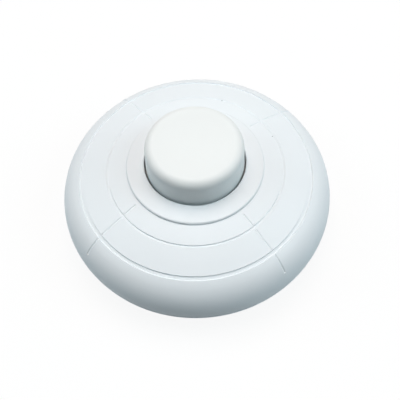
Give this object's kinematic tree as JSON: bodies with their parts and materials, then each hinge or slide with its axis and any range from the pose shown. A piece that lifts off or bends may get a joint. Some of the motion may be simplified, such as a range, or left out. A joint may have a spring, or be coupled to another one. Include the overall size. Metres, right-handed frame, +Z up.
{
  "type": "lamp foot switch",
  "caption": "Round domed floor-lamp foot switch: a sprung push button turns an indexing contact rotor inside a screwed two-shell housing with flat-cord inlets at opposite ends.",
  "frame": {"origin": "middle of the footprint, on the floor plane under the rubber feet", "axes": "+Z up along the button's axis, X along the line of the cord inlets"},
  "size_m": [0.065, 0.065, 0.0285],
  "materials": {
    "white_plastic": "satin",
    "button_plastic": "satin",
    "rotor_plastic": "satin",
    "clamp_plastic": "satin",
    "spring_steel": "satin",
    "screw_steel": "zinc plated",
    "terminal_brass": "satin",
    "bridge_bronze": "satin",
    "contact_silver": "satin",
    "foot_rubber": "matte"
  },
  "bodies": {
    "housing": {"top_cover": "white_plastic", "base_shell": "white_plastic", "return_spring": "spring_steel", "live_in_terminal": "terminal_brass", "live_out_terminal": "terminal_brass", "fixed_contact_tips": "contact_silver", "neutral_link": "terminal_brass", "terminal_screws": "screw_steel", "cord_clamp_right": "clamp_plastic", "cord_clamp_left": "clamp_plastic", "clamp_screws": "screw_steel", "housing_screws": "screw_steel", "detent_leaf_rear": "spring_steel", "detent_leaf_front": "spring_steel", "rubber_foot_right": "foot_rubber", "rubber_foot_rear": "foot_rubber", "rubber_foot_left": "foot_rubber", "rubber_foot_front": "foot_rubber"},
    "button": {"push_button": "button_plastic"},
    "rotor": {"index_rotor": "rotor_plastic", "contact_bridge": "bridge_bronze", "bridge_contact_tips": "contact_silver"}
  },
  "joints": [
    {"name": "button_press", "type": "slide", "parent": "housing", "child": "button", "axis": [0, 0, -1], "range_m": [0, 0.004], "stiffness_N_per_m": 2000, "springref_m": -0.004, "deforming": ["return_spring"]},
    {"name": "rotor_turn", "type": "hinge", "parent": "housing", "child": "rotor", "pos_m": [0, 0, 0.008], "axis": [0, 0, 1], "range_deg": [0, 32], "deforming": ["detent_leaf_front", "detent_leaf_rear"]}
  ],
  "couplings": [
    {"joint": "rotor_turn", "follows": "button_press", "rad_per_m": 139.6}
  ]
}
